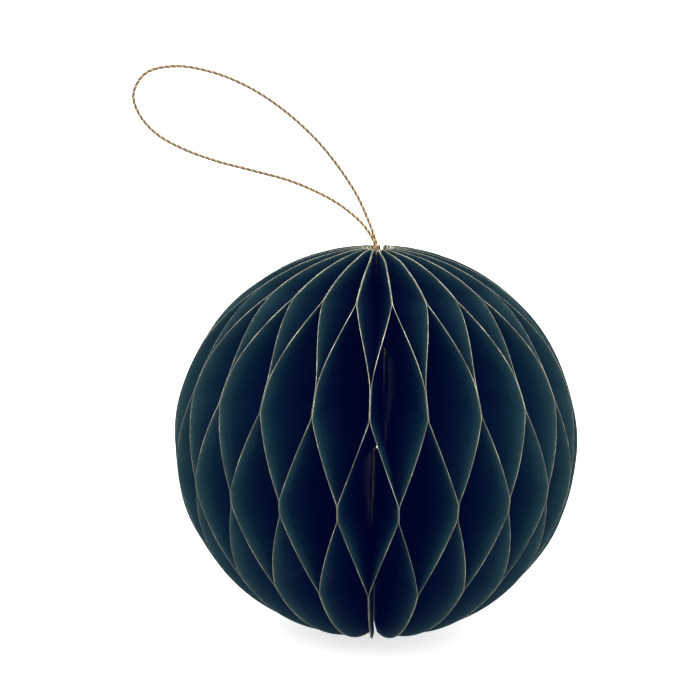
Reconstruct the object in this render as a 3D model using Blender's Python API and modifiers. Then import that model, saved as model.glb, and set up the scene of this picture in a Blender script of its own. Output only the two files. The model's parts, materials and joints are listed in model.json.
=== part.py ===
"""Paper honeycomb ball that opens out of a flat half-disc stack and hangs from a cord loop.

Forty-four half-disc paper leaves stand round a vertical axis. Neighbouring leaves are glued to each
other along level bands, at the pattern A rows on one side and at the pattern B rows on the other, so
that the opened stack makes a honeycomb of diamond cells. A card cover backs each end leaf. The two
covers meet face to face at the seam, and a disc magnet behind each holds them together. A cord loop
comes up through the hole round the axis from a knot in the hollow at the middle.

The ball folds shut along a chain of lines, one in the middle of each leaf's wedge. Each has an empty,
fold_01 to fold_44, and turning every one of them by minus LEAF_STEP about Z lays the stack flat.

Metres, +Z up along the ball's axis. The origin is on the axis at the top pole, where the cord leaves
the paper. Azimuths run from -Y towards +X.
"""

import math

import bmesh
import bpy
from mathutils import Vector
from mathutils.geometry import interpolate_bezier

MM = 0.001

# The ball, whose axis is a little shorter than its girth
BALL_RADIUS = 50.0 * MM
HALF_HEIGHT = 49.0 * MM
CENTRE_Z = -HALF_HEIGHT
LEAF_COUNT = 44
LEAF_STEP = math.tau / LEAF_COUNT
SEAM_AZIMUTH = math.radians(186.1)

# Paper and card
LEAF_THICKNESS = 0.15 * MM
LEAF_GAP = 0.06 * MM
LEAF_PITCH = LEAF_THICKNESS + LEAF_GAP
COVER_THICKNESS = 0.35 * MM
GLUE_GAP = 0.06 * MM
SEAM_GAP = 0.06 * MM

# How far the fold lines stand from the axis. At this distance the folded leaves lie parallel, a pitch
# apart, with their straight edges in line.
FOLD_RADIUS = LEAF_PITCH / (2.0 * math.sin(LEAF_STEP / 2.0))

# A leaf's straight edge, with the shallow recess that leaves a hollow round the axis
HUB_RADIUS = 2.05 * MM
HUB_CORNER = 1.3 * MM
COVER_EDGE_RADIUS = 3.6 * MM
RECESS_TOP = 26.6 * MM
RECESS_FOOT = -24.0 * MM
RECESS_RAMP = 6.0 * MM
RECESS_DEPTH = 3.75 * MM

# Heights above the centre at which the leaves join or part. The A rows hold the top pole and row 3
# together, the B rows hold row 2 and the bottom pole.
ROW_1_FOOT = 39.5 * MM
ROW_2_TOP = 21.65 * MM
ROW_2_FOOT = 15.5 * MM
ROW_3_TOP = -3.65 * MM
ROW_3_FOOT = -7.75 * MM
ROW_4_TOP = -27.35 * MM
ROW_1_EASE = 1.64

# How finely a leaf's outline is divided
LEVEL_STEP = 5.2 * MM
POLE_STEPS = 4
POLE_START = 41.5 * MM

# Magnets
MAGNET_RADIUS = 6.0 * MM
MAGNET_THICKNESS = 0.6 * MM
MAGNET_REACH = 32.0 * MM
MAGNET_HEIGHT = 6.5 * MM
MAGNET_SIDES = 32
SHARP_ANGLE = math.radians(40.0)

# Cord loop and the knot that holds it under the top hub
CORD_DIAMETER = 0.6 * MM
CORD_SPACING = 2.55 * MM
KNOT_RADIUS = 2.3 * MM
KNOT_HALF_HEIGHT = 1.7 * MM
KNOT_Z = -26.2 * MM
KNOT_SIDES = 20
ROUTE_STEPS = 40

# The cord's centreline in millimetres: up from the knot, round the loop and back down to the knot
CORD_ROUTE = (
    (0.0, 0.35, -24.2),
    (0.0, 0.35, -16.0),
    (0.0, 0.35, -8.0),
    (-0.2, 0.35, -2.5),
    (-1.2, 0.35, 2.0),
    (-2.8, 0.3, 6.3),
    (-5.5, 0.2, 12.2),
    (-9.4, 0.0, 18.3),
    (-14.4, 0.0, 24.6),
    (-20.1, 0.0, 30.2),
    (-26.7, 0.0, 35.3),
    (-33.4, 0.0, 39.2),
    (-41.0, 0.0, 42.1),
    (-49.4, 0.0, 43.5),
    (-56.9, 0.0, 42.0),
    (-60.3, 0.0, 37.0),
    (-59.0, 0.0, 31.8),
    (-54.8, 0.0, 27.05),
    (-48.4, 0.0, 23.5),
    (-40.2, 0.0, 20.6),
    (-31.0, 0.0, 18.3),
    (-21.6, 0.0, 15.8),
    (-12.6, -0.2, 11.9),
    (-6.2, -0.3, 7.5),
    (-2.4, -0.35, 3.2),
    (-0.7, -0.35, -1.0),
    (0.0, -0.35, -6.0),
    (0.0, -0.35, -15.0),
    (0.0, -0.35, -24.2),
)


# ---------------------------------------------------------------- directions and outline

def outward(azimuth):
    """Unit vector from the axis outwards."""
    return Vector((math.sin(azimuth), -math.cos(azimuth), 0.0))


def sideways(azimuth):
    """Unit vector along the girth, towards larger azimuths."""
    return Vector((math.cos(azimuth), math.sin(azimuth), 0.0))


def rim_radius(height):
    """Radius of the ball at a height above its centre."""
    return BALL_RADIUS * math.sqrt(max(0.0, 1.0 - (height / HALF_HEIGHT) ** 2))


def rim_height(radius):
    """Height of the ball's surface above its centre at a radius."""
    return HALF_HEIGHT * math.sqrt(1.0 - (radius / BALL_RADIUS) ** 2)


def spine_radius(height):
    """Radius of a leaf's straight edge, with the recess and its slanted ends."""
    inside = min(RECESS_TOP - height, height - RECESS_FOOT) / RECESS_RAMP
    return HUB_RADIUS + RECESS_DEPTH * min(1.0, max(0.0, inside))


def fold_point(number):
    """Where leaf `number`'s fold line crosses the ball's mid plane."""
    point = outward(SEAM_AZIMUTH + (number - 0.5) * LEAF_STEP) * FOLD_RADIUS
    point.z = CENTRE_Z
    return point


def part_way(height, top, foot):
    """How far a height has come down from top to foot, from 0 to 1."""
    return (top - height) / (top - foot)


def wave(height):
    """+1 where a leaf lies on its A plane, -1 where it lies on its B plane."""
    if height >= ROW_1_FOOT:
        return 1.0
    if height > ROW_2_TOP:
        left = 1.0 - part_way(height, ROW_1_FOOT, ROW_2_TOP)
        return 2.0 * left**ROW_1_EASE - 1.0
    if height >= ROW_2_FOOT:
        return -1.0
    if height > ROW_3_TOP:
        return 2.0 * part_way(height, ROW_2_FOOT, ROW_3_TOP) - 1.0
    if height >= ROW_3_FOOT:
        return 1.0
    if height > ROW_4_TOP:
        return 1.0 - 2.0 * part_way(height, ROW_3_FOOT, ROW_4_TOP)
    return -1.0


def pole_stations(sign):
    """Stations from the last level one to the hub's corner, each (spine point, rim point)."""
    corner = HUB_RADIUS + HUB_CORNER
    low = math.asin(POLE_START / HALF_HEIGHT)
    high = math.asin(rim_height(corner) / HALF_HEIGHT)
    last_spine = rim_height(corner) - HUB_CORNER
    found = []
    for step in range(1, POLE_STEPS + 1):
        share = step / POLE_STEPS
        latitude = low + (high - low) * share
        spine = POLE_START + (last_spine - POLE_START) * share
        rim = HALF_HEIGHT * math.sin(latitude)
        found.append(
            ((HUB_RADIUS, sign * spine), (BALL_RADIUS * math.cos(latitude), sign * rim))
        )
    return found


def leaf_stations():
    """A half-disc's stations from the bottom pole to the top: (spine point, rim point), each a
    (radius, height)."""
    levels = [
        -POLE_START,
        ROW_4_TOP,
        RECESS_FOOT,
        RECESS_FOOT + RECESS_RAMP,
        ROW_3_FOOT,
        ROW_3_TOP,
        ROW_2_FOOT,
        RECESS_TOP - RECESS_RAMP,
        ROW_2_TOP,
        RECESS_TOP,
        ROW_1_FOOT,
        POLE_START,
    ]
    heights = [levels[0]]
    for low, high in zip(levels, levels[1:]):
        steps = math.ceil((high - low) / LEVEL_STEP)
        heights += [low + (high - low) * n / steps for n in range(1, steps + 1)]
    middle = [((spine_radius(h), h), (rim_radius(h), h)) for h in heights]
    return pole_stations(-1.0)[::-1] + middle + pole_stations(1.0)


# ---------------------------------------------------------------- making objects

def clear_scene():
    for old in list(bpy.data.objects):
        bpy.data.objects.remove(old, do_unlink=True)


def make_collection(name):
    collection = bpy.data.collections.new(name)
    bpy.context.scene.collection.children.link(collection)
    return collection


def make_material(name, colour, roughness, metallic=0.0):
    material = bpy.data.materials.new(name)
    material.use_nodes = True
    shader = material.node_tree.nodes["Principled BSDF"]
    shader.inputs["Base Color"].default_value = (*colour, 1.0)
    shader.inputs["Roughness"].default_value = roughness
    shader.inputs["Metallic"].default_value = metallic
    return material


def add_object(name, data, collection, material):
    made = bpy.data.objects.new(name, data)
    made.data.materials.append(material)
    collection.objects.link(made)
    return made


def make_folds(collection):
    """The chain of empties on the fold lines, each the child of the one before."""
    folds = []
    for number in range(1, LEAF_COUNT + 1):
        fold = bpy.data.objects.new(f"fold_{number:02d}", None)
        fold.empty_display_size = FOLD_RADIUS
        fold.location = fold_point(number)
        if folds:
            fold.parent = folds[-1]
            fold.location -= fold_point(number - 1)
        collection.objects.link(fold)
        folds.append(fold)
    return folds


def bent_sheet(name, place, thickness, origin, collection, material):
    """A half-disc sheet with its origin at a point: a two-column grid whose points place() puts in
    space, made solid."""
    stations = leaf_stations()
    rows = len(stations) - 1
    bm = bmesh.new()
    bmesh.ops.create_grid(bm, x_segments=1, y_segments=rows, size=1.0)
    for vertex in bm.verts:
        station = stations[round((vertex.co.y + 1.0) / 2.0 * rows)]
        radius, height = station[1] if vertex.co.x > 0.0 else station[0]
        vertex.co = place(radius, height) - origin
    mesh = bpy.data.meshes.new(name)
    bm.to_mesh(mesh)
    bm.free()
    sheet = add_object(name, mesh, collection, material)
    sheet.location = origin
    solid = sheet.modifiers.new("Thickness", "SOLIDIFY")
    solid.thickness = thickness
    solid.offset = 0.0
    solid.use_even_offset = True
    return sheet


def end_leaf_shift():
    """How far the covers push the first leaf off the plane that it would share with a neighbour."""
    cover_face = SEAM_GAP / 2.0 + COVER_THICKNESS
    return cover_face + GLUE_GAP + LEAF_THICKNESS / 2.0 - LEAF_PITCH / 2.0


def make_leaf(number, fold, collection, material):
    """Leaf `number`, from 1 at the first cover to LEAF_COUNT at the last, on its fold line."""
    towards_a = -1.0 if number % 2 else 1.0
    middle = SEAM_AZIMUTH + (number - 0.5) * LEAF_STEP
    shift = end_leaf_shift() * (1.0 - 2.0 * (number - 1) / (LEAF_COUNT - 1))

    def place(radius, height):
        side = towards_a * wave(height)
        azimuth = middle + side * LEAF_STEP / 2.0
        across = shift - side * LEAF_PITCH / 2.0
        point = outward(azimuth) * radius + sideways(azimuth) * across
        point.z = CENTRE_Z + height
        return point

    name = f"leaf_{number:02d}"
    leaf = bent_sheet(name, place, LEAF_THICKNESS, fold_point(number), collection, material)
    leaf.location = (0.0, 0.0, 0.0)
    leaf.parent = fold
    return leaf


def make_cover(name, side, origin, collection, material):
    """A flat card cover beside the seam, on the side of larger azimuths if side is 1."""
    across = side * (SEAM_GAP + COVER_THICKNESS) / 2.0

    def place(radius, height):
        reach = max(radius, COVER_EDGE_RADIUS)
        point = outward(SEAM_AZIMUTH) * reach + sideways(SEAM_AZIMUTH) * across
        point.z = CENTRE_Z + min(max(height, -rim_height(reach)), rim_height(reach))
        return point

    return bent_sheet(name, place, COVER_THICKNESS, origin, collection, material)


def make_magnet(name, side, collection, material):
    """A disc magnet glued on the inner face of a cover, in the half cell beside it."""
    bm = bmesh.new()
    bmesh.ops.create_cone(
        bm,
        cap_ends=True,
        segments=MAGNET_SIDES,
        radius1=MAGNET_RADIUS,
        radius2=MAGNET_RADIUS,
        depth=MAGNET_THICKNESS,
    )
    mesh = bpy.data.meshes.new(name)
    bm.to_mesh(mesh)
    bm.free()
    mesh.shade_smooth()
    mesh.set_sharp_from_angle(angle=SHARP_ANGLE)
    magnet = add_object(name, mesh, collection, material)
    across = SEAM_GAP / 2.0 + COVER_THICKNESS + GLUE_GAP + MAGNET_THICKNESS / 2.0
    place = outward(SEAM_AZIMUTH) * MAGNET_REACH + sideways(SEAM_AZIMUTH) * side * across
    magnet.location = (place.x, place.y, CENTRE_Z + MAGNET_HEIGHT)
    magnet.rotation_euler = (math.radians(90.0), 0.0, SEAM_AZIMUTH - math.radians(90.0))
    return magnet


def smooth_route(points, spacing):
    """Points a spacing apart on a smooth curve through the given ones. Each stretch is a Bezier whose
    handles run along the line between the point's two neighbours."""
    ends = [points[0] * 2.0 - points[1]] + points + [points[-1] * 2.0 - points[-2]]
    fine = []
    for a, b, c, d in zip(ends, ends[1:], ends[2:], ends[3:]):
        leaving = b + (c - a) / 6.0
        arriving = c - (d - b) / 6.0
        fine += interpolate_bezier(b, leaving, arriving, c, ROUTE_STEPS + 1)[:-1]
    fine.append(points[-1])
    travelled = [0.0]
    for p, q in zip(fine, fine[1:]):
        travelled.append(travelled[-1] + (q - p).length)
    count = round(travelled[-1] / spacing)
    even = []
    at = 0
    for n in range(count + 1):
        wanted = travelled[-1] * n / count
        while at < len(fine) - 2 and travelled[at + 1] < wanted:
            at += 1
        share = (wanted - travelled[at]) / (travelled[at + 1] - travelled[at])
        even.append(fine[at].lerp(fine[at + 1], share))
    return even


def make_cord(collection, material):
    route = [Vector(point) * MM for point in CORD_ROUTE]
    points = smooth_route(route, CORD_SPACING)
    curve = bpy.data.curves.new("hanging_cord", "CURVE")
    curve.dimensions = "3D"
    curve.bevel_depth = CORD_DIAMETER / 2.0
    curve.bevel_resolution = 2
    curve.use_fill_caps = True
    spline = curve.splines.new("POLY")
    spline.points.add(len(points) - 1)
    for knot, point in zip(spline.points, points):
        knot.co = (*point, 1.0)
    return add_object("hanging_cord", curve, collection, material)


def make_knot(collection, material):
    bm = bmesh.new()
    bmesh.ops.create_uvsphere(
        bm, u_segments=KNOT_SIDES, v_segments=KNOT_SIDES // 2, radius=KNOT_RADIUS
    )
    flat = KNOT_HALF_HEIGHT / KNOT_RADIUS
    bmesh.ops.scale(bm, vec=(1.0, 1.0, flat), verts=bm.verts)
    mesh = bpy.data.meshes.new("cord_knot")
    bm.to_mesh(mesh)
    bm.free()
    mesh.shade_smooth()
    knot = add_object("cord_knot", mesh, collection, material)
    knot.location = (0.0, 0.0, KNOT_Z)
    return knot


def main():
    clear_scene()
    ball = make_collection("paper_honeycomb_ball")
    paper = make_material("teal_paper", (0.018, 0.075, 0.09), 0.8)
    card = make_material("teal_card", (0.06, 0.21, 0.2), 0.6)
    nickel = make_material("magnet_nickel", (0.6, 0.6, 0.62), 0.3, 1.0)
    gold = make_material("gold_cord", (0.8, 0.52, 0.22), 0.4, 0.8)
    folds = make_folds(ball)
    for number, fold in enumerate(folds, start=1):
        make_leaf(number, fold, ball, paper)
    make_cover("first_cover", 1.0, Vector((0.0, 0.0, CENTRE_Z)), ball, card)
    make_magnet("first_magnet", 1.0, ball, nickel)
    last_cover = make_cover("last_cover", -1.0, fold_point(LEAF_COUNT), ball, card)
    last_magnet = make_magnet("last_magnet", -1.0, ball, nickel)
    last_magnet.location -= fold_point(LEAF_COUNT)
    last_cover.location = (0.0, 0.0, 0.0)
    last_cover.parent = folds[-1]
    last_magnet.parent = folds[-1]
    make_cord(ball, gold)
    make_knot(ball, gold)


main()
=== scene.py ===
"""Looks of the paper honeycomb ball: gilded teal leaves, card covers, magnets, gold cord and studio.

Lengths are in metres unless a name ends in _MM. Azimuths run from -Y towards +X, and heights in the ball
are measured from its centre.
"""

import json
import math

import bmesh
import bpy
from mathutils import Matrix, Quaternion, Vector, noise
from mathutils.geometry import interpolate_bezier
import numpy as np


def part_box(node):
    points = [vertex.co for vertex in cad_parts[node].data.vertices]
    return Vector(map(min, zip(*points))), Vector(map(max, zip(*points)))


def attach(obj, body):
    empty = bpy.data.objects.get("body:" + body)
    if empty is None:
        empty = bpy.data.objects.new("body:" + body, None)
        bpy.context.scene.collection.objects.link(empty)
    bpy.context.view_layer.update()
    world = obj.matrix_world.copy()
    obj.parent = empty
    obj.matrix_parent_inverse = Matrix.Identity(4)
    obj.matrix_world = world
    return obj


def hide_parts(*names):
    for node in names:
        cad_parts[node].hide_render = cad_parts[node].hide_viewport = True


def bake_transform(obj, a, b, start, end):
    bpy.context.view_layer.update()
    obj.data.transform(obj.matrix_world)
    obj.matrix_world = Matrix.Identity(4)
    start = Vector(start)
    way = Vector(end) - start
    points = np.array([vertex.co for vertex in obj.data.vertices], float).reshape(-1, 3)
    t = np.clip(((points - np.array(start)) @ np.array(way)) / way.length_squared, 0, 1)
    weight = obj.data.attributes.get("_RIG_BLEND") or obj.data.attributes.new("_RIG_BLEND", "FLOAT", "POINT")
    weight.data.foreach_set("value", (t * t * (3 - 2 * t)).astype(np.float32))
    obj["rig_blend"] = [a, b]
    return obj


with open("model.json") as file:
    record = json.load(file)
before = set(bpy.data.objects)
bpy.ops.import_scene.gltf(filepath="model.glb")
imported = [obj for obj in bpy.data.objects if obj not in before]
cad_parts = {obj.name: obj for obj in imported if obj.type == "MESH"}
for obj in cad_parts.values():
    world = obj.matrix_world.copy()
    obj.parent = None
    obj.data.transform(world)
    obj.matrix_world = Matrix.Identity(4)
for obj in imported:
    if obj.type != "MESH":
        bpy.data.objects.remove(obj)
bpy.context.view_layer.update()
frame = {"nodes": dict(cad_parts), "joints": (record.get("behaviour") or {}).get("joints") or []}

MM = 0.001

# The ball. Its fold lines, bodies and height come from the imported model
FOLDS = [Vector(joint["pos_m"]) for joint in frame["joints"]]
LEAF_COUNT = len(FOLDS)
LEAF_STEP = math.tau / LEAF_COUNT
SEAM_AZIMUTH = math.atan2(FOLDS[0].x, -FOLDS[0].y) - LEAF_STEP / 2.0
CENTRE = Vector((0.0, 0.0, FOLDS[0].z))
BODIES = ["first_cover_side"] + [joint["child"] for joint in frame["joints"]]
LEAF_PITCH = 2.0 * FOLDS[0].xy.length * math.sin(LEAF_STEP / 2.0)
BALL_RADIUS = 50.0 * MM
HALF_HEIGHT = -CENTRE.z

# Paper and card. A leaf is drawn thinner than its solid, so that its edge is as fine as a real one
LEAF_THICKNESS = 0.15 * MM
DRAWN_THICKNESS = 0.8 * LEAF_THICKNESS
COVER_THICKNESS = 0.35 * MM
GLUE_GAP = 0.06 * MM
SEAM_GAP = 0.06 * MM
GILT_WIDTH = 0.1 * MM
# From leaf to leaf, the step across the pattern that the paper's grain is taken from
SHEET_STEP = (117.0 * MM, 71.0 * MM)

# A leaf's straight edge, with the shallow recess that leaves a hollow round the axis
HUB_RADIUS = 2.05 * MM
HUB_CORNER = 1.3 * MM
RECESS_TOP = 26.6 * MM
RECESS_FOOT = -24.0 * MM
RECESS_RAMP = 6.0 * MM
RECESS_DEPTH = 3.75 * MM
COVER_EDGE_RADIUS = 3.6 * MM

# How far a magnet shows through its cover, and how wide the slope round it is
PRESSED_DISC = 0.022 * MM
PRESSED_EDGE = 0.9 * MM

# Heights at which the leaves join or part, and how their bends are eased
ROW_1_FOOT = 39.5 * MM
ROW_2_TOP = 21.65 * MM
ROW_2_FOOT = 15.5 * MM
ROW_3_TOP = -3.65 * MM
ROW_3_FOOT = -7.75 * MM
ROW_4_TOP = -27.35 * MM
ROW_1_EASE = 1.64
BEND = 0.45 * MM

# A leaf's mesh: rows from pole to pole, which slope past a height, and columns as shares of the way from
# the rim to the straight edge
STATIONS = 320
POLE_START = 41.5 * MM
COLUMNS = (0.0, 0.0004, 0.02, 0.06, 0.13, 0.24, 0.4, 0.6, 0.8, 1.0)
FINE_COLUMNS = COLUMNS[:5] + tuple(0.2 + 0.05 * n for n in range(17))

# Bowing of the paper between its glue lines, as a share of the room it has
RIPPLE = 0.55
RIPPLE_LENGTH = 24.0 * MM
RIPPLE_START = 9.0 * MM
# Step through the noise from leaf to leaf, so that no two leaves bow alike
RIPPLE_STEP = 3.7

# Round the axis the leaves lean aside, one way or the other by height: (middle height, half the height,
# lean, reach from the recess outwards), and how softly each lean starts and ends
SWIRLS = (
    (38.0 * MM, 14.0 * MM, -0.65 * MM, 8.0 * MM),
    (12.75 * MM, 14.25 * MM, 1.4 * MM, 24.0 * MM),
    (-12.0 * MM, 13.5 * MM, -0.9 * MM, 24.0 * MM),
    (-40.0 * MM, 9.0 * MM, -0.35 * MM, 8.0 * MM),
)
SWIRL_FADE = 3.0 * MM

# The leaves of one side sit a little further out
LEAN = 0.7 * MM
LEAN_AZIMUTH = math.radians(-92.0)

# From the second leaf on, the leaves near a magnet are dented by it, each a little less than the one
# before, so that it has room when they lie folded on it. The end leaf isn't: folded, it crosses the magnet
DENT = 0.68 * MM
DENT_STEP = 0.08 * MM
DENT_MARGIN = 2.6 * MM
DENT_SLOPE = 5.0 * MM

# A cover's mesh, the share of its width where its gilded strip starts, and the ease of its recess's corners
COVER_ROWS = 180
COVER_COLUMNS = 46
COVER_STRIP = 0.9985
COVER_EASE = 0.9 * MM

# Cord loop: its plies bulge a little past the plain tube
CORD_DIAMETER = 0.6 * MM
CORD_TWIST = 1.48 * MM
CORD_RADIUS = 0.7 * CORD_DIAMETER
KNOT_CORD_RADIUS = 0.75 * CORD_DIAMETER
KNOT_POINTS = 240
PLY_SHARE = 0.58
PLY_SPACING = 0.12 * MM
CORD_ROUTE_MM = (
    (0.0, 0.35, -24.2),
    (0.0, 0.35, -16.0),
    (0.0, 0.35, -8.0),
    (-0.2, 0.35, -2.5),
    (-1.2, 0.35, 2.0),
    (-2.8, 0.3, 6.3),
    (-5.5, 0.2, 12.2),
    (-9.4, 0.0, 18.3),
    (-14.4, 0.0, 24.6),
    (-20.1, 0.0, 30.2),
    (-26.7, 0.0, 35.3),
    (-33.4, 0.0, 39.2),
    (-41.0, 0.0, 42.1),
    (-49.4, 0.0, 43.5),
    (-56.9, 0.0, 42.0),
    (-60.3, 0.0, 37.0),
    (-59.0, 0.0, 31.8),
    (-54.8, 0.0, 27.05),
    (-48.4, 0.0, 23.5),
    (-40.2, 0.0, 20.6),
    (-31.0, 0.0, 18.3),
    (-21.6, 0.0, 15.8),
    (-12.6, -0.2, 11.9),
    (-6.2, -0.3, 7.5),
    (-2.4, -0.35, 3.2),
    (-0.7, -0.35, -1.0),
    (0.0, -0.35, -6.0),
    (0.0, -0.35, -15.0),
    (0.0, -0.35, -24.2),
)

# Camera: how far it stands from the ball's centre, how high, and how it is turned off it
CAMERA_DISTANCE = 527.0 * MM
CAMERA_ELEVATION = math.radians(13.41)
CAMERA_ROLL = math.radians(0.84)
CAMERA_PAN = math.radians(0.73)
CAMERA_TILT = math.radians(2.47)
CAMERA_LENS_MM = 108.1

# Studio
SKY_STRENGTH = 1.7
FLOOR_REACH = 40.0
FLOOR_GAP = 0.2 * MM


# ---------------------------------------------------------------- helpers

def magnet_disc(name):
    """Distance from the axis, height above the centre and radius of a magnet."""
    low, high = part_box(name)
    middle = (low + high) / 2.0 - CENTRE
    return middle.xy.length, middle.z, (high.z - low.z) / 2.0


MAGNET = magnet_disc("first_magnet")


def outward(azimuth):
    """Unit vector from the axis outwards."""
    return Vector((math.sin(azimuth), -math.cos(azimuth), 0.0))


def sideways(azimuth):
    """Unit vector along the girth, towards larger azimuths."""
    return Vector((math.cos(azimuth), math.sin(azimuth), 0.0))


def add_object(name, data, *materials):
    """A new object in the scene, with its materials in order."""
    made = bpy.data.objects.new(name, data)
    for material in materials:
        made.data.materials.append(material)
    bpy.context.scene.collection.objects.link(made)
    return made


# ---------------------------------------------------------------- camera

def make_camera():
    """Looks down at the ball a little, with the ball below and right of the view's middle."""
    data = bpy.data.cameras.new("camera")
    data.lens = CAMERA_LENS_MM
    data.clip_start = 10.0 * MM
    camera = add_object("camera", data)
    back = Vector((0.0, -math.cos(CAMERA_ELEVATION), math.sin(CAMERA_ELEVATION)))
    camera.location = CENTRE + back * CAMERA_DISTANCE
    level = (-back).to_track_quat("-Z", "Y")
    roll = Quaternion((0.0, 0.0, 1.0), CAMERA_ROLL)
    to_ball = Vector((math.tan(CAMERA_PAN), -math.tan(CAMERA_TILT), -1.0))
    aside = to_ball.rotation_difference(Vector((0.0, 0.0, -1.0)))
    camera.rotation_mode = "QUATERNION"
    camera.rotation_quaternion = level @ roll @ aside
    bpy.context.scene.camera = camera


# ---------------------------------------------------------------- cord route

def smooth_route(points, spacing):
    """Points a spacing apart on a smooth curve through the given ones. Each stretch is a Bezier whose
    handles run along the line between the point's two neighbours."""
    ends = [points[0] * 2.0 - points[1]] + points + [points[-1] * 2.0 - points[-2]]
    fine = []
    steps = 40
    for a, b, c, d in zip(ends, ends[1:], ends[2:], ends[3:]):
        leaving = b + (c - a) / 6.0
        arriving = c - (d - b) / 6.0
        fine += interpolate_bezier(b, leaving, arriving, c, steps + 1)[:-1]
    fine.append(points[-1])
    travelled = [0.0]
    for p, q in zip(fine, fine[1:]):
        travelled.append(travelled[-1] + (q - p).length)
    count = round(travelled[-1] / spacing)
    even = []
    at = 0
    for n in range(count + 1):
        wanted = travelled[-1] * n / count
        while at < len(fine) - 2 and travelled[at + 1] < wanted:
            at += 1
        share = (wanted - travelled[at]) / (travelled[at + 1] - travelled[at])
        even.append(fine[at].lerp(fine[at + 1], share))
    return even


# ---------------------------------------------------------------- materials

def new_material(name):
    material = bpy.data.materials.new(name)
    material.use_nodes = True
    return material, Tree(material.node_tree)


class Tree:
    """A short way to add nodes to a material and link them."""

    def __init__(self, tree):
        self.tree = tree
        self.shader = tree.nodes.get("Principled BSDF")

    def add(self, kind, inputs=None, **settings):
        node = self.tree.nodes.new(f"ShaderNode{kind}")
        for key, value in settings.items():
            setattr(node, key, value)
        for key, value in (inputs or {}).items():
            if isinstance(value, bpy.types.NodeSocket):
                self.tree.links.new(value, node.inputs[key])
            else:
                node.inputs[key].default_value = value
        return node

    def uv(self, name="paper"):
        return self.add("UVMap", uv_map=name).outputs["UV"]

    def object_place(self):
        return self.add("TexCoord").outputs["Object"]

    def noise(self, place, scale, detail=4.0, roughness=0.55, stretch=(1.0, 1.0, 1.0)):
        if stretch != (1.0, 1.0, 1.0):
            mapped = self.add("Mapping", {"Vector": place, "Scale": stretch})
            place = mapped.outputs["Vector"]
        values = {"Vector": place, "Scale": scale, "Detail": detail, "Roughness": roughness}
        return self.add("TexNoise", values).outputs["Fac"]

    def ramp(self, factor, *stops):
        node = self.add("ValToRGB", {"Fac": factor})
        elements = node.color_ramp.elements
        while len(elements) < len(stops):
            elements.new(0.5)
        for element, (place, colour) in zip(elements, stops):
            element.position = place
            if not isinstance(colour, tuple):
                colour = (colour,) * 3
            element.color = (*colour, 1.0)
        return node.outputs["Color"]

    def mix(self, factor, first, second, blend_type="MIX"):
        node = self.add("Mix", {"Factor": factor}, data_type="RGBA", blend_type=blend_type)
        for socket, value in ((node.inputs[6], first), (node.inputs[7], second)):
            if isinstance(value, bpy.types.NodeSocket):
                self.tree.links.new(value, socket)
            else:
                socket.default_value = (*value, 1.0)
        return node.outputs[2]

    def spread(self, factor, low, high):
        """Maps 0..1 to low..high."""
        return self.add("MapRange", {"Value": factor, "To Min": low, "To Max": high}).outputs[0]

    def bump(self, height, distance, strength=1.0, normal=None):
        values = {"Height": height, "Distance": distance, "Strength": strength}
        if normal:
            values["Normal"] = normal
        return self.add("Bump", values).outputs["Normal"]

    def set(self, **sockets):
        for name, value in sockets.items():
            socket = self.shader.inputs[name.replace("_", " ")]
            if isinstance(value, bpy.types.NodeSocket):
                self.tree.links.new(value, socket)
            elif isinstance(value, tuple):
                socket.default_value = (*value, 1.0)
            else:
                socket.default_value = value


def paper_material():
    """Dyed paper with fibres, faint mottling and a worn rim. Its colour deepens to navy away from the rim,
    which is painted shade inside the cells; its rim is greyer as painted sheen, and it glows faintly blue as
    painted light.
    """
    material, t = new_material("teal_paper")
    place = t.uv()
    depth = t.add("Attribute", attribute_name="rim_distance").outputs["Fac"]
    # Painted shade: the colour darkens to navy away from the rim, as the shade inside the cells does, and
    # the greyer tone at the rim is painted sheen.
    dye_and_painted_shade = t.ramp(
        t.add("MapRange", {"Value": depth, "From Max": 30.0 * MM}).outputs[0],
        (0.0, (0.02, 0.05, 0.044)),
        (0.05, (0.0088, 0.0325, 0.032)),
        (0.14, (0.0022, 0.0175, 0.0245)),
        (0.3, (0.0003, 0.0092, 0.02)),
        (1.0, (0.0, 0.0036, 0.02)),
    )
    mottle = t.noise(place, 160.0, detail=5.0)
    fibre = t.noise(place, 1800.0, detail=4.0, roughness=0.65)
    grain = t.noise(place, 5200.0, detail=2.0)
    dye_and_painted_shade = t.mix(1.0, dye_and_painted_shade, t.ramp(mottle, (0.3, 0.86), (0.7, 1.13)), "MULTIPLY")
    dye_and_painted_shade = t.mix(1.0, dye_and_painted_shade, t.ramp(fibre, (0.3, 0.94), (0.7, 1.06)), "MULTIPLY")
    near_rim = t.add("MapRange", {"Value": depth, "From Max": 0.9 * MM, "To Min": 1.0, "To Max": 0.0})
    wear_and_ring_shade = t.add("Math", {0: near_rim.outputs[0], 1: t.ramp(fibre, (0.5, 0.0), (0.72, 1.0))})
    wear_and_ring_shade.operation = "MULTIPLY"
    dye_and_painted_shade = t.mix(wear_and_ring_shade.outputs[0], dye_and_painted_shade, (0.1, 0.16, 0.15))
    height = t.mix(0.4, fibre, grain)
    t.set(Base_Color=dye_and_painted_shade, Roughness=t.spread(mottle, 0.62, 0.82), Normal=t.bump(height, 0.02 * MM, 0.6))
    # Painted light: a faint blue glow of the paper, which lifts its shade towards navy.
    t.set(Specular_IOR_Level=0.1, Emission_Color=(0.0, 0.07, 1.0), Emission_Strength=0.0165)
    return material


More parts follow.
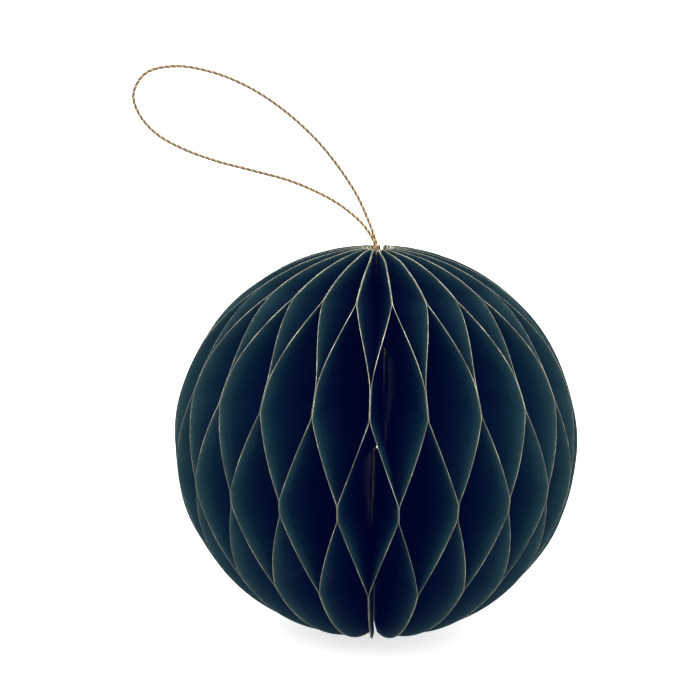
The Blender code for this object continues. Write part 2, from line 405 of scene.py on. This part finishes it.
def gilt_material():
    """Gold edge paint, uneven and a little worn."""
    material, t = new_material("gilt_edge")
    place = t.uv()
    wear = t.noise(place, 120.0, detail=6.0, roughness=0.75)
    speck = t.noise(place, 4500.0, detail=2.0)
    gold = t.ramp(wear, (0.36, (0.19, 0.19, 0.15)), (0.5, (0.42, 0.41, 0.31)), (0.62, (0.98, 0.92, 0.66)))
    gold = t.mix(1.0, gold, t.ramp(speck, (0.3, 0.75), (0.6, 1.1)), "MULTIPLY")
    t.set(Base_Color=gold, Roughness=t.spread(speck, 0.45, 0.7), Normal=t.bump(speck, 0.02 * MM, 0.5))
    t.set(Metallic=1.0)
    return material


def card_material():
    """Dyed card with a fine linen grain. The magnet behind it shows as a faint raised disc, with painted
    shade in a ring on the disc's slope.
    """
    material, t = new_material("teal_card")
    place = t.uv()
    from_axis, disc_height, disc_radius = MAGNET
    to_disc = t.add("VectorMath", {0: place, 1: (from_axis, disc_height, 0.0)}, operation="DISTANCE")
    slope = {
        "Value": to_disc.outputs["Value"],
        "From Min": disc_radius,
        "From Max": disc_radius + PRESSED_EDGE,
        "To Min": 1.0,
        "To Max": 0.0,
    }
    raised = t.add("MapRange", slope, interpolation_type="SMOOTHSTEP").outputs[0]
    mottle = t.noise(place, 220.0, detail=5.0)
    linen = t.noise(place, 3200.0, detail=3.0)
    dye_and_painted_shade = t.ramp(mottle, (0.3, (0.03, 0.135, 0.125)), (0.7, (0.04, 0.165, 0.15)))
    dye_and_painted_shade = t.mix(1.0, dye_and_painted_shade, t.ramp(linen, (0.3, 0.92), (0.7, 1.08)), "MULTIPLY")
    # Painted shade: a darker ring on the slope round the raised disc.
    wear_and_ring_shade = t.ramp(raised, (0.1, 1.0), (0.45, 0.86), (0.8, 1.0))
    dye_and_painted_shade = t.mix(1.0, dye_and_painted_shade, wear_and_ring_shade, "MULTIPLY")
    grain = t.bump(linen, 0.03 * MM, 0.5)
    t.set(Base_Color=dye_and_painted_shade, Roughness=t.spread(mottle, 0.5, 0.65))
    t.set(Normal=t.bump(raised, 0.06 * MM, 1.0, grain))
    return material


def card_edge_material():
    """The raw edge of the card, where its layers show."""
    material, t = new_material("card_edge")
    place = t.object_place()
    layers = t.noise(place, 2500.0, detail=4.0)
    tone = t.ramp(layers, (0.3, (0.36, 0.27, 0.17)), (0.7, (0.62, 0.52, 0.38)))
    t.set(Base_Color=tone, Roughness=t.spread(layers, 0.6, 0.9), Normal=t.bump(layers, 0.03 * MM, 0.6))
    return material


def magnet_material():
    """Nickel plate, brushed along the ball's axis."""
    material, t = new_material("magnet_nickel")
    place = t.object_place()
    brushed = t.noise(place, 900.0, detail=4.0, stretch=(1.0, 1.0, 6.0))
    tone = t.ramp(brushed, (0.3, (0.5, 0.5, 0.52)), (0.7, (0.68, 0.68, 0.7)))
    t.set(Base_Color=tone, Metallic=1.0, Roughness=t.spread(brushed, 0.22, 0.42))
    return material


def thread_material(name, dark, bright, metallic):
    """Metallic thread: dull inside the ball, which is painted shade, brighter and warmest just above it,
    which is painted light, plain further up.
    """
    material, t = new_material(name)
    place = t.object_place()
    strand = t.noise(place, 5200.0, detail=2.0)
    tone = t.ramp(strand, (0.32, dark), (0.62, bright))
    height = t.add("SeparateXYZ", {0: place}).outputs["Z"]
    level = t.add("MapRange", {"Value": height, "From Min": -4.0 * MM, "From Max": 18.0 * MM}).outputs[0]
    # Painted shade and light by height: darker inside the ball, brighter and warmer just above it.
    painted_shade_and_light = t.ramp(level, (0.0, 0.6), (0.2, (1.6, 1.42, 1.2)), (1.0, 1.0))
    tone = t.mix(1.0, tone, painted_shade_and_light, "MULTIPLY")
    t.set(Base_Color=tone, Metallic=metallic, Roughness=t.spread(strand, 0.28, 0.55))
    t.set(Normal=t.bump(strand, 0.06 * MM, 0.7))
    return material


# ---------------------------------------------------------------- cord and knot

def twisted_plies(points, radius, pitch, materials, name):
    """Round plies wound about a line of points, one for each material."""
    curve = bpy.data.curves.new(name, "CURVE")
    curve.dimensions = "3D"
    curve.bevel_depth = radius * PLY_SHARE
    curve.bevel_resolution = 2
    curve.use_fill_caps = True
    side = Vector((0.0, 1.0, 0.0))
    frames = []
    for n, point in enumerate(points):
        along = (points[min(n + 1, len(points) - 1)] - points[max(n - 1, 0)]).normalized()
        side = (side - along * side.dot(along)).normalized()
        frames.append((point, side, along.cross(side)))
    spacing = (points[1] - points[0]).length
    for ply, material in enumerate(materials):
        curve.materials.append(material)
        spline = curve.splines.new("POLY")
        spline.points.add(len(points) - 1)
        spline.material_index = ply
        for n, (point, u, v) in enumerate(frames):
            turn = math.tau * (n * spacing / pitch + ply / len(materials))
            wound = point + (u * math.cos(turn) + v * math.sin(turn)) * radius * (1.0 - PLY_SHARE)
            spline.points[n].co = (*wound, 1.0)
    guide = bpy.data.objects.new(name, curve)
    bpy.context.scene.collection.objects.link(guide)
    mesh = bpy.data.meshes.new_from_object(
        guide.evaluated_get(bpy.context.evaluated_depsgraph_get())
    )
    bpy.data.objects.remove(guide)
    mesh.shade_smooth()
    return add_object(name, mesh)


def make_cord(gold, shade_ply):
    """The loop, from the knot up through the top pole, round and back down to the knot."""
    route = [Vector(point) * MM for point in CORD_ROUTE_MM]
    points = smooth_route(route, PLY_SPACING)
    cord = twisted_plies(points, CORD_RADIUS, CORD_TWIST, (gold, shade_ply), "cord_loop")
    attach(cord, "first_cover_side")
    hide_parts("hanging_cord")


def make_knot(gold, shade_ply):
    """The two ends of the cord tied in one overhand knot, a trefoil, in the space of the CAD knot."""
    low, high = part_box("cord_knot")
    middle = (low + high) / 2.0
    half = (high - low) / 2.0
    points = []
    for n in range(KNOT_POINTS):
        t = math.tau * n / KNOT_POINTS
        x = (math.sin(t) + 2.0 * math.sin(2.0 * t)) / 3.0
        y = (math.cos(t) - 2.0 * math.cos(2.0 * t)) / 3.0
        z = -math.sin(3.0 * t)
        reach = half.x - CORD_DIAMETER
        points.append(middle + Vector((x * reach, y * reach, z * (half.z - CORD_DIAMETER))))
    points.append(points[0])
    knot = twisted_plies(points, KNOT_CORD_RADIUS, CORD_TWIST, (gold, shade_ply), "overhand_knot")
    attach(knot, "first_cover_side")
    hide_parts("cord_knot")


# ---------------------------------------------------------------- leaves

def rim_height(radius):
    """Height of a leaf's round edge at a distance from the axis."""
    return HALF_HEIGHT * math.sqrt(1.0 - (radius / BALL_RADIUS) ** 2)


def spine_radius(height):
    """Distance from the axis of a leaf's straight edge at a height."""
    inside = min(RECESS_TOP - height, height - RECESS_FOOT) / RECESS_RAMP
    return HUB_RADIUS + RECESS_DEPTH * min(1.0, max(0.0, inside))


def eased(shape, height, reach, count):
    """A shape's mean over a reach above and below a height, which rounds its corners."""
    half = count // 2
    return sum(shape(height + reach * (n - half) / half) for n in range(count)) / count


def part_way(height, top, foot):
    """How far a height has come down from top to foot, from 0 to 1."""
    return (top - height) / (top - foot)


def sharp_wave(height):
    """+1 where a leaf lies on its A plane, -1 where it lies on its B plane."""
    if height >= ROW_1_FOOT:
        return 1.0
    if height > ROW_2_TOP:
        left = 1.0 - part_way(height, ROW_1_FOOT, ROW_2_TOP)
        return 2.0 * left**ROW_1_EASE - 1.0
    if height >= ROW_2_FOOT:
        return -1.0
    if height > ROW_3_TOP:
        return 2.0 * part_way(height, ROW_2_FOOT, ROW_3_TOP) - 1.0
    if height >= ROW_3_FOOT:
        return 1.0
    if height > ROW_4_TOP:
        return 1.0 - 2.0 * part_way(height, ROW_3_FOOT, ROW_4_TOP)
    return -1.0


def wave(height):
    """The wave with its bends rounded, as paper takes them."""
    return eased(sharp_wave, height, BEND, 5)


def leaf_stations():
    """From the bottom pole to the top: (spine point, rim point), each a (radius, height)."""
    corner = HUB_RADIUS + HUB_CORNER
    top_latitude = math.asin(rim_height(corner) / HALF_HEIGHT)
    level_latitude = math.asin(POLE_START / HALF_HEIGHT)
    last_spine = rim_height(corner) - HUB_CORNER
    found = []
    for n in range(STATIONS + 1):
        latitude = top_latitude * (2.0 * n / STATIONS - 1.0)
        rim = (BALL_RADIUS * math.cos(latitude), HALF_HEIGHT * math.sin(latitude))
        if abs(latitude) <= level_latitude:
            spine = (spine_radius(rim[1]), rim[1])
        else:
            share = (abs(latitude) - level_latitude) / (top_latitude - level_latitude)
            height = POLE_START + (last_spine - POLE_START) * share
            spine = (HUB_RADIUS, math.copysign(height, latitude))
        found.append((spine, rim))
    return found


def smooth_step(share):
    """From 0 to 1 with level ends."""
    share = min(1.0, max(0.0, share))
    return share * share * (3.0 - 2.0 * share)


def ripple(number, height, from_rim):
    """How far a leaf's paper bows between its two planes: none at the rim, more further in."""
    place = Vector((number * RIPPLE_STEP, height / RIPPLE_LENGTH, from_rim / RIPPLE_LENGTH))
    return RIPPLE * noise.noise(place) * smooth_step(from_rim / RIPPLE_START)


def swirl(number, height, radius):
    """Sideways lean of a leaf's inner part, which fades towards the covers and the rim."""
    lean = 0.0
    for middle, half, amount, reach in SWIRLS:
        level = smooth_step((half - abs(height - middle)) / SWIRL_FADE)
        inner = smooth_step(1.0 - (radius - HUB_RADIUS - RECESS_DEPTH) / reach)
        lean += amount * level * inner
    return lean * math.sin(math.pi * (number - 0.5) / LEAF_COUNT)


def from_cover(number):
    """How many leaves lie between a leaf and the nearer cover."""
    return min(number, LEAF_COUNT + 1 - number) - 1


def dent(number, height, radius):
    """Sideways move of a leaf's paper where a magnet presses into it, none for the end leaves."""
    depth = DENT - DENT_STEP * from_cover(number)
    if from_cover(number) == 0 or depth <= 0.0:
        return 0.0
    from_axis, disc_height, disc_radius = MAGNET
    from_disc = math.hypot(radius - from_axis, height - disc_height)
    inside = smooth_step((disc_radius + DENT_MARGIN + DENT_SLOPE - from_disc) / DENT_SLOPE)
    return math.copysign(depth * inside, LEAF_COUNT / 2.0 - number)


def end_leaf_shift():
    """How far the first leaf's middle stands off its own place in the fan, to leave room for the cover."""
    cover_face = SEAM_GAP / 2.0 + COVER_THICKNESS
    return cover_face + GLUE_GAP + LEAF_THICKNESS / 2.0 - LEAF_PITCH / 2.0


def make_leaf(number, stations, paper, gilt):
    """One half-disc leaf, which lies on one glue plane at some heights and on the next at others."""
    towards_a = -1.0 if number % 2 else 1.0
    middle = SEAM_AZIMUTH + (number - 0.5) * LEAF_STEP
    shift = end_leaf_shift() * (1.0 - 2.0 * (number - 1) / (LEAF_COUNT - 1))
    lean = LEAN * max(0.0, math.cos(middle - LEAN_AZIMUTH)) ** 2
    shares = FINE_COLUMNS if DENT > DENT_STEP * from_cover(number) else COLUMNS
    rows = len(stations) - 1
    columns = len(shares) - 1
    bm = bmesh.new()
    bmesh.ops.create_grid(bm, x_segments=columns, y_segments=rows, size=1.0)
    flat = bm.loops.layers.uv.new("paper")
    rim_distance = bm.verts.layers.float.new("rim_distance")
    sides = {}
    places = {}
    pole_ends = set()
    for vertex in bm.verts:
        row = round((vertex.co.y + 1.0) / 2.0 * rows)
        if row in (0, rows):
            pole_ends.add(vertex.index)
        spine, rim = stations[row]
        share = shares[columns - round((vertex.co.x + 1.0) / 2.0 * columns)]
        radius = rim[0] + (spine[0] - rim[0]) * share
        height = rim[1] + (spine[1] - rim[1]) * share
        from_rim = math.hypot(rim[0] - spine[0], rim[1] - spine[1]) * share
        side = towards_a * wave(height)
        side += (1.0 - side * side) * ripple(number, height, from_rim)
        azimuth = middle + side * LEAF_STEP / 2.0
        across = shift - side * LEAF_PITCH / 2.0
        across += swirl(number, height, radius) + dent(number, height, radius)
        point = outward(azimuth) * (radius + lean) + sideways(azimuth) * across
        vertex.co = CENTRE + point + Vector((0.0, 0.0, height))
        vertex[rim_distance] = from_rim
        sides[vertex.index] = side
        places[vertex.index] = (radius + number * SHEET_STEP[0], height + number * SHEET_STEP[1])
    bm.verts.index_update()
    for face in bm.faces:
        face.smooth = True
        for loop in face.loops:
            loop[flat].uv = places[loop.vert.index]
    mesh = bpy.data.meshes.new(f"paper_leaf_{number:02d}")
    bm.to_mesh(mesh)
    bm.free()
    leaf = add_object(mesh.name, mesh, paper, gilt)
    for polygon in mesh.polygons:
        inmost = max(mesh.attributes["rim_distance"].data[v].value for v in polygon.vertices)
        if inmost < GILT_WIDTH or pole_ends.intersection(polygon.vertices):
            polygon.material_index = 1
    solid = leaf.modifiers.new("Thickness", "SOLIDIFY")
    solid.thickness = DRAWN_THICKNESS
    solid.offset = 0.0
    solid.use_even_offset = True
    near, far = BODIES[number - 1], BODIES[number]
    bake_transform(leaf, near, far, start=outward(middle) * 0.0, end=sideways(middle) * MM)
    # A glue line turns with its own body, and the paper between turns by its share of the way
    turned = [(1.0 + sides[n]) / 2.0 for n in range(len(mesh.vertices))]
    mesh.attributes["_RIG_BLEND"].data.foreach_set("value", turned)
    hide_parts(f"leaf_{number:02d}")


# ---------------------------------------------------------------- covers

def cover_spine_radius(height):
    """A cover's straight edge, with the recess's corners eased."""
    return max(eased(spine_radius, height, COVER_EASE, 7), COVER_EDGE_RADIUS)


def make_cover(name, body, side, card, edge, gilt):
    """A flat card cover beside the seam, on the side of larger azimuths if side is 1. The magnet behind it
    presses a faint disc through. Its straight edge is raw card and its round edge is gilded."""
    from_axis, disc_height, disc_radius = MAGNET
    bm = bmesh.new()
    bmesh.ops.create_grid(bm, x_segments=COVER_COLUMNS, y_segments=COVER_ROWS, size=1.0)
    flat = bm.loops.layers.uv.new("paper")
    places = {}
    inner = set()
    top = math.asin(rim_height(COVER_EDGE_RADIUS) / HALF_HEIGHT)
    for vertex in bm.verts:
        latitude = top * vertex.co.y
        height = HALF_HEIGHT * math.sin(latitude)
        rim = BALL_RADIUS * math.cos(latitude)
        column = round((vertex.co.x + 1.0) / 2.0 * COVER_COLUMNS)
        share = min(column / (COVER_COLUMNS - 1), COVER_STRIP) if column < COVER_COLUMNS else 1.0
        if column < COVER_COLUMNS - 1:
            inner.add(vertex.index)
        spine = min(cover_spine_radius(height), rim)
        radius = spine + (rim - spine) * share
        from_disc = math.hypot(radius - from_axis, height - disc_height)
        pressed = PRESSED_DISC * smooth_step((disc_radius + PRESSED_EDGE - from_disc) / PRESSED_EDGE)
        across = side * ((SEAM_GAP + COVER_THICKNESS) / 2.0 - pressed)
        point = outward(SEAM_AZIMUTH) * radius + sideways(SEAM_AZIMUTH) * across
        vertex.co = CENTRE + point + Vector((0.0, 0.0, height))
        places[vertex.index] = (radius, height)
    for face in bm.faces:
        face.smooth = True
        face.material_index = 0 if any(v.index in inner for v in face.verts) else 1
        for loop in face.loops:
            loop[flat].uv = places[loop.vert.index]
    mesh = bpy.data.meshes.new(f"card_{name}_cover")
    bm.to_mesh(mesh)
    bm.free()
    cover = add_object(mesh.name, mesh, card, edge, gilt)
    solid = cover.modifiers.new("Thickness", "SOLIDIFY")
    solid.thickness = COVER_THICKNESS
    solid.offset = 0.0
    solid.material_offset_rim = 1
    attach(cover, body)
    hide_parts(f"{name}_cover")


# ---------------------------------------------------------------- studio

def make_studio():
    """A white room without walls: soft sky, two wide suns and a pale floor just under the ball."""
    world = bpy.data.worlds.new("studio")
    world.use_nodes = True
    sky = Tree(world.node_tree)
    height = sky.add("SeparateXYZ", {0: sky.add("TexCoord").outputs["Generated"]}).outputs["Z"]
    above = sky.add("MapRange", {"Value": height, "From Min": -1.0}).outputs[0]
    glow = sky.ramp(above, (0.0, 0.3), (0.44, 0.38), (0.5, 0.6), (0.75, 0.6), (1.0, 0.88))
    sky.tree.links.new(glow, sky.tree.nodes["Background"].inputs["Color"])
    sky.tree.nodes["Background"].inputs["Strength"].default_value = SKY_STRENGTH
    bpy.context.scene.world = world
    bpy.context.scene.view_settings.view_transform = "Standard"
    material, t = new_material("pale_floor")
    tone = t.noise(t.object_place(), 3.0, detail=2.0)
    t.set(Base_Color=t.ramp(tone, (0.0, 0.86), (1.0, 0.9)), Roughness=0.9, Specular_IOR_Level=0.1)
    t.set(Emission_Color=(1.0, 1.0, 1.0), Emission_Strength=0.66)
    bm = bmesh.new()
    bmesh.ops.create_grid(bm, x_segments=1, y_segments=1, size=FLOOR_REACH)
    mesh = bpy.data.meshes.new("floor")
    bm.to_mesh(mesh)
    bm.free()
    floor = add_object("floor", mesh, material)
    floor.location.z = -2.0 * HALF_HEIGHT - FLOOR_GAP
    floor.visible_glossy = False
    for name, azimuth, elevation, strength, spread in (
        ("key_sun", -35.0, 66.0, 1.4, 60.0),
        ("fill_sun", 50.0, 55.0, 0.8, 80.0),
    ):
        light = bpy.data.lights.new(name, "SUN")
        light.energy = strength
        light.angle = math.radians(spread)
        sun = add_object(name, light)
        up = math.radians(elevation)
        toward = outward(math.radians(azimuth)) * math.cos(up) + Vector((0.0, 0.0, math.sin(up)))
        sun.rotation_euler = toward.to_track_quat("Z", "Y").to_euler()


# ---------------------------------------------------------------- the scene

make_camera()
gold = thread_material("gold_thread", (0.26, 0.17, 0.085), (0.54, 0.39, 0.2), 0.4)
# The second, dark ply is painted shade: its marks along the cord stand in for the shade between the plies of
# the twist.
shade_ply = thread_material("shade_ply_thread", (0.07, 0.05, 0.034), (0.15, 0.108, 0.074), 0.3)
make_cord(gold, shade_ply)
make_knot(gold, shade_ply)
paper = paper_material()
gilt = gilt_material()
card = card_material()
card_edge = card_edge_material()
nickel = magnet_material()
stations = leaf_stations()
for number in range(1, LEAF_COUNT + 1):
    make_leaf(number, stations, paper, gilt)
for name, body, side in (("first", BODIES[0], 1.0), ("last", BODIES[-1], -1.0)):
    make_cover(name, body, side, card, card_edge, gilt)
    frame["nodes"][f"{name}_magnet"].data.materials[0] = nickel
make_studio()
